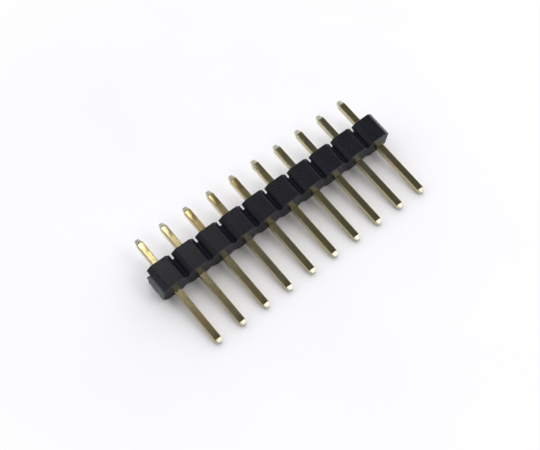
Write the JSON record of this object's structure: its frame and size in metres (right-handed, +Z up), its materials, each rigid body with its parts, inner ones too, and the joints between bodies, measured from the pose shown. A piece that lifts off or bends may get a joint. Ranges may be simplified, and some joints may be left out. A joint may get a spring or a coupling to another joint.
{
  "type": "pin header strip",
  "caption": "Straight single-row pin header: square gold-flashed brass pins pressed through a black moulded strip of octagonal blocks joined by snap-off necks.",
  "frame": {"origin": "middle of the row, where the plane of the pins' axes meets the insulator's seating face", "axes": "+X along the row, from the snapped end to the plain end; +Y level, towards the side where the short tails are; +Z up. The strip lies as it comes to rest, on the points of its contacts and the front edge of its underside, so the pins lean 9.37 degrees and the tails point along (0, 0.98667, 0.162732)."},
  "size_m": [0.0255, 0.0114, 0.0029],
  "materials": {
    "insulator": "black glass-filled moulding, semi-gloss, pale and rough on the snapped neck",
    "contact": "gold flash over drawn square brass wire, bright"
  },
  "bodies": {
    "root": {"insulator_strip": "insulator", "pin_01": "contact", "pin_02": "contact", "pin_03": "contact", "pin_04": "contact", "pin_05": "contact", "pin_06": "contact", "pin_07": "contact", "pin_08": "contact", "pin_09": "contact", "pin_10": "contact"}
  },
  "joints": []
}
